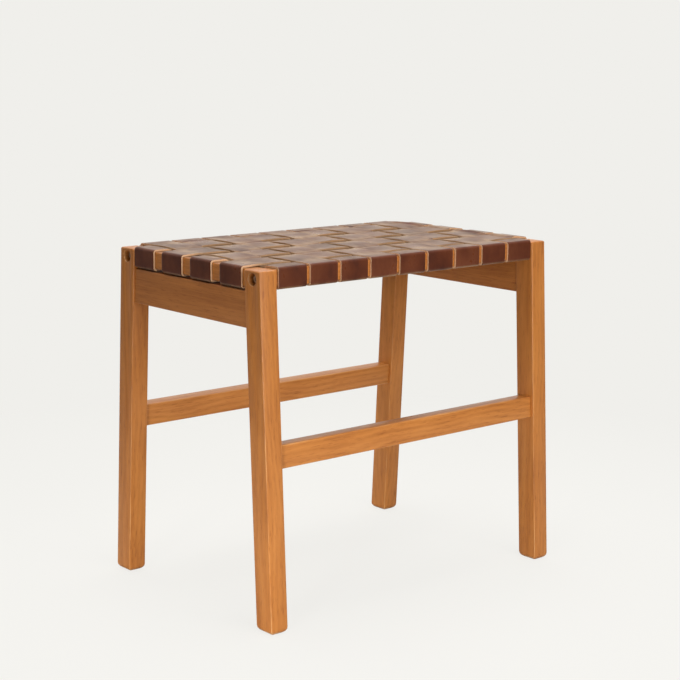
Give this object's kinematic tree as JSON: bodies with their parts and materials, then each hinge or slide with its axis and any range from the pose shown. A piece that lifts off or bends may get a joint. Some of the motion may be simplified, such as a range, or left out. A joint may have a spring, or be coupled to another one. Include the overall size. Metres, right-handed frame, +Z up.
{
  "type": "woven strap stool",
  "caption": "Wooden stool with four leaning legs, end aprons, two stretchers and a seat of flat leather straps woven over the rails.",
  "frame": {"origin": "on the floor under the middle of the seat", "axes": "+X along the seat's length, +Y from the front stretcher to the back one, +Z up"},
  "size_m": [0.5, 0.3496, 0.4588],
  "materials": {
    "frame_wood": "honey brown stain under satin lacquer",
    "dowel_wood": "bare",
    "strap_leather": "dark brown, waxed, with raw tan edges",
    "bolt_steel": "zinc plated"
  },
  "bodies": {
    "root": {"leg_front_left": "frame_wood", "leg_front_right": "frame_wood", "leg_back_left": "frame_wood", "leg_back_right": "frame_wood", "stretcher_front": "frame_wood", "stretcher_back": "frame_wood", "end_rail_left": "frame_wood", "end_rail_right": "frame_wood", "side_rail_front": "frame_wood", "side_rail_back": "frame_wood", "apron_left": "frame_wood", "apron_right": "frame_wood", "end_rail_dowels": "dowel_wood", "apron_dowels": "dowel_wood", "locating_dowels": "dowel_wood", "long_strap_1": "strap_leather", "long_strap_2": "strap_leather", "long_strap_3": "strap_leather", "long_strap_4": "strap_leather", "cross_strap_1": "strap_leather", "cross_strap_2": "strap_leather", "cross_strap_3": "strap_leather", "cross_strap_4": "strap_leather", "cross_strap_5": "strap_leather", "cross_strap_6": "strap_leather", "cross_strap_7": "strap_leather", "cross_strap_8": "strap_leather", "cross_strap_9": "strap_leather", "rail_bolts": "bolt_steel", "bolt_washers": "bolt_steel", "barrel_nuts": "bolt_steel"}
  },
  "joints": []
}
